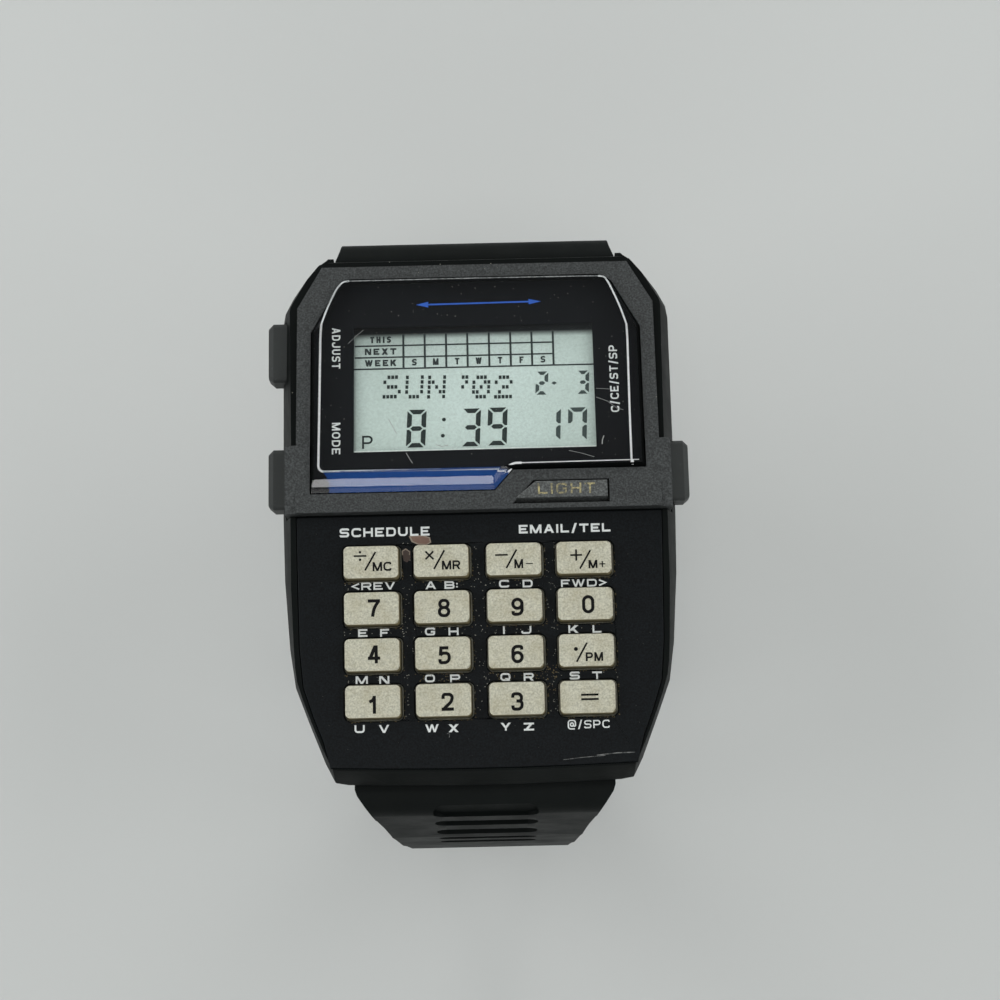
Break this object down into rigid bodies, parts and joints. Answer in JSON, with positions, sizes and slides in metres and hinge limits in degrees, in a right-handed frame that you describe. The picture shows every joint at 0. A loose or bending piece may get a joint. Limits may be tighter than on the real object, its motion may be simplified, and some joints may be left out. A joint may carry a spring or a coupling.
{
  "type": "digital calculator wrist watch",
  "caption": "Digital wrist watch with a calculator keypad below its display, side pushers, and a resin strap with a pin buckle, unbuckled.",
  "frame": {"origin": "middle of the case back's outer face", "axes": "+X from 9 to 3 o'clock, +Y from 6 to 12 o'clock, +Z out of the dial, away from the wrist"},
  "size_m": [0.041, 0.0624, 0.0708],
  "materials": {
    "case_resin": "fine matte black resin",
    "strap_resin": "flexible matte black resin",
    "bezel_plastic": "spark-textured dark grey paint",
    "panel_plastic": "fine-grained blue-black plastic",
    "key_paint": "speckled warm silver-beige paint with black signs",
    "crystal_clear": "clear moulded crystal with a printed dark mask",
    "display_glass": "grey-green liquid-crystal glass",
    "steel_brushed": "brushed stainless steel",
    "steel_bright": "bright drawn steel",
    "rubber_grey": "moulded silicone rubber",
    "rubber_black": "black rubber",
    "board_green": "green solder mask",
    "chip_black": "black moulding compound",
    "frame_white": "white moulded plastic",
    "contact_brass": "plated brass",
    "backlight": "pale green electroluminescent sheet"
  },
  "bodies": {
    "case": {"case_body": "case_resin", "case_back": "steel_brushed", "case_back_screws": "steel_bright", "case_back_gasket": "rubber_black", "bezel_frame": "bezel_plastic", "crystal": "crystal_clear", "keypad_panel": "panel_plastic", "keypad_membrane": "rubber_grey", "keypad_board": "board_green", "light_spring": "steel_bright", "light_contact": "contact_brass", "pusher_spring_adjust": "steel_bright", "pusher_spring_mode": "steel_bright", "pusher_spring_clear": "steel_bright", "contact_springs": "steel_bright", "lcd_panel": "display_glass", "backlight_panel": "backlight", "zebra_strips": "rubber_grey", "module_frame": "frame_white", "circuit_board": "board_green", "controller_chip": "chip_black", "quartz_can": "steel_brushed", "battery": "steel_brushed", "battery_clip": "steel_bright", "buzzer_disc": "contact_brass", "buzzer_spring": "steel_bright", "spring_bar_upper": "steel_bright", "spring_bar_lower": "steel_bright"},
    "key_divide": {"key_divide": "key_paint"},
    "key_multiply": {"key_multiply": "key_paint"},
    "key_minus": {"key_minus": "key_paint"},
    "key_plus": {"key_plus": "key_paint"},
    "key_7": {"key_7": "key_paint"},
    "key_8": {"key_8": "key_paint"},
    "key_9": {"key_9": "key_paint"},
    "key_0": {"key_0": "key_paint"},
    "key_4": {"key_4": "key_paint"},
    "key_5": {"key_5": "key_paint"},
    "key_6": {"key_6": "key_paint"},
    "key_point": {"key_point": "key_paint"},
    "key_1": {"key_1": "key_paint"},
    "key_2": {"key_2": "key_paint"},
    "key_3": {"key_3": "key_paint"},
    "key_equals": {"key_equals": "key_paint"},
    "light_button": {"light_button": "bezel_plastic"},
    "pusher_adjust": {"pusher_adjust": "case_resin", "pusher_clip_adjust": "steel_bright"},
    "pusher_mode": {"pusher_mode": "case_resin", "pusher_clip_mode": "steel_bright"},
    "pusher_clear": {"pusher_clear": "case_resin", "pusher_clip_clear": "steel_bright"},
    "strap_upper": {"strap_upper": "strap_resin", "keeper_fixed": "strap_resin", "buckle_pin": "steel_bright"},
    "keeper_sliding": {"keeper_sliding": "strap_resin"},
    "strap_lower": {"strap_lower": "strap_resin"},
    "buckle_frame": {"buckle_frame": "steel_brushed"},
    "buckle_tongue": {"buckle_tongue": "steel_brushed"}
  },
  "joints": [
    {"name": "key_divide_press", "type": "slide", "parent": "case", "child": "key_divide", "axis": [0, 0.0698, -0.9976], "range_m": [0, 0.00035], "stiffness_N_per_m": 400, "springref_m": -0.0005},
    {"name": "key_multiply_press", "type": "slide", "parent": "case", "child": "key_multiply", "axis": [0, 0.0698, -0.9976], "range_m": [0, 0.00035], "stiffness_N_per_m": 400, "springref_m": -0.0005},
    {"name": "key_minus_press", "type": "slide", "parent": "case", "child": "key_minus", "axis": [0, 0.0698, -0.9976], "range_m": [0, 0.00035], "stiffness_N_per_m": 400, "springref_m": -0.0005},
    {"name": "key_plus_press", "type": "slide", "parent": "case", "child": "key_plus", "axis": [0, 0.0698, -0.9976], "range_m": [0, 0.00035], "stiffness_N_per_m": 400, "springref_m": -0.0005},
    {"name": "key_7_press", "type": "slide", "parent": "case", "child": "key_7", "axis": [0, 0.0698, -0.9976], "range_m": [0, 0.00035], "stiffness_N_per_m": 400, "springref_m": -0.0005},
    {"name": "key_8_press", "type": "slide", "parent": "case", "child": "key_8", "axis": [0, 0.0698, -0.9976], "range_m": [0, 0.00035], "stiffness_N_per_m": 400, "springref_m": -0.0005},
    {"name": "key_9_press", "type": "slide", "parent": "case", "child": "key_9", "axis": [0, 0.0698, -0.9976], "range_m": [0, 0.00035], "stiffness_N_per_m": 400, "springref_m": -0.0005},
    {"name": "key_0_press", "type": "slide", "parent": "case", "child": "key_0", "axis": [0, 0.0698, -0.9976], "range_m": [0, 0.00035], "stiffness_N_per_m": 400, "springref_m": -0.0005},
    {"name": "key_4_press", "type": "slide", "parent": "case", "child": "key_4", "axis": [0, 0.0698, -0.9976], "range_m": [0, 0.00035], "stiffness_N_per_m": 400, "springref_m": -0.0005},
    {"name": "key_5_press", "type": "slide", "parent": "case", "child": "key_5", "axis": [0, 0.0698, -0.9976], "range_m": [0, 0.00035], "stiffness_N_per_m": 400, "springref_m": -0.0005},
    {"name": "key_6_press", "type": "slide", "parent": "case", "child": "key_6", "axis": [0, 0.0698, -0.9976], "range_m": [0, 0.00035], "stiffness_N_per_m": 400, "springref_m": -0.0005},
    {"name": "key_point_press", "type": "slide", "parent": "case", "child": "key_point", "axis": [0, 0.0698, -0.9976], "range_m": [0, 0.00035], "stiffness_N_per_m": 400, "springref_m": -0.0005},
    {"name": "key_1_press", "type": "slide", "parent": "case", "child": "key_1", "axis": [0, 0.0698, -0.9976], "range_m": [0, 0.00035], "stiffness_N_per_m": 400, "springref_m": -0.0005},
    {"name": "key_2_press", "type": "slide", "parent": "case", "child": "key_2", "axis": [0, 0.0698, -0.9976], "range_m": [0, 0.00035], "stiffness_N_per_m": 400, "springref_m": -0.0005},
    {"name": "key_3_press", "type": "slide", "parent": "case", "child": "key_3", "axis": [0, 0.0698, -0.9976], "range_m": [0, 0.00035], "stiffness_N_per_m": 400, "springref_m": -0.0005},
    {"name": "key_equals_press", "type": "slide", "parent": "case", "child": "key_equals", "axis": [0, 0.0698, -0.9976], "range_m": [0, 0.00035], "stiffness_N_per_m": 400, "springref_m": -0.0005},
    {"name": "light_press", "type": "slide", "parent": "case", "child": "light_button", "axis": [0, 0, -1], "range_m": [0, 0.0005], "stiffness_N_per_m": 400, "springref_m": -0.0005, "deforming": ["light_spring"]},
    {"name": "adjust_press", "type": "slide", "parent": "case", "child": "pusher_adjust", "axis": [1, 0, 0], "range_m": [0, 0.0007], "stiffness_N_per_m": 400, "springref_m": -0.0005, "deforming": ["pusher_spring_adjust"]},
    {"name": "mode_press", "type": "slide", "parent": "case", "child": "pusher_mode", "axis": [1, 0, 0], "range_m": [0, 0.0007], "stiffness_N_per_m": 400, "springref_m": -0.0005, "deforming": ["pusher_spring_mode"]},
    {"name": "clear_press", "type": "slide", "parent": "case", "child": "pusher_clear", "axis": [-1, 0, 0], "range_m": [0, 0.0007], "stiffness_N_per_m": 400, "springref_m": -0.0005, "deforming": ["pusher_spring_clear"]},
    {"name": "strap_upper_hinge", "type": "hinge", "parent": "case", "child": "strap_upper", "pos_m": [0, 0.024, 0.0021], "axis": [1, 0, 0], "range_deg": [0, 5]},
    {"name": "strap_lower_hinge", "type": "hinge", "parent": "case", "child": "strap_lower", "pos_m": [0, -0.024, 0.0021], "axis": [-1, 0, 0], "range_deg": [0, 5]},
    {"name": "keeper_slide", "type": "slide", "parent": "strap_upper", "child": "keeper_sliding", "axis": [0, 1, 0], "range_m": [-0.003, 0.0012]},
    {"name": "buckle_hinge", "type": "hinge", "parent": "strap_upper", "child": "buckle_frame", "pos_m": [0, -0.01176, -0.0433], "axis": [1, 0, 0], "range_deg": [-90, 10]},
    {"name": "tongue_hinge", "type": "hinge", "parent": "buckle_frame", "child": "buckle_tongue", "pos_m": [0, -0.01176, -0.0433], "axis": [1, 0, 0], "range_deg": [0, 30]}
  ]
}
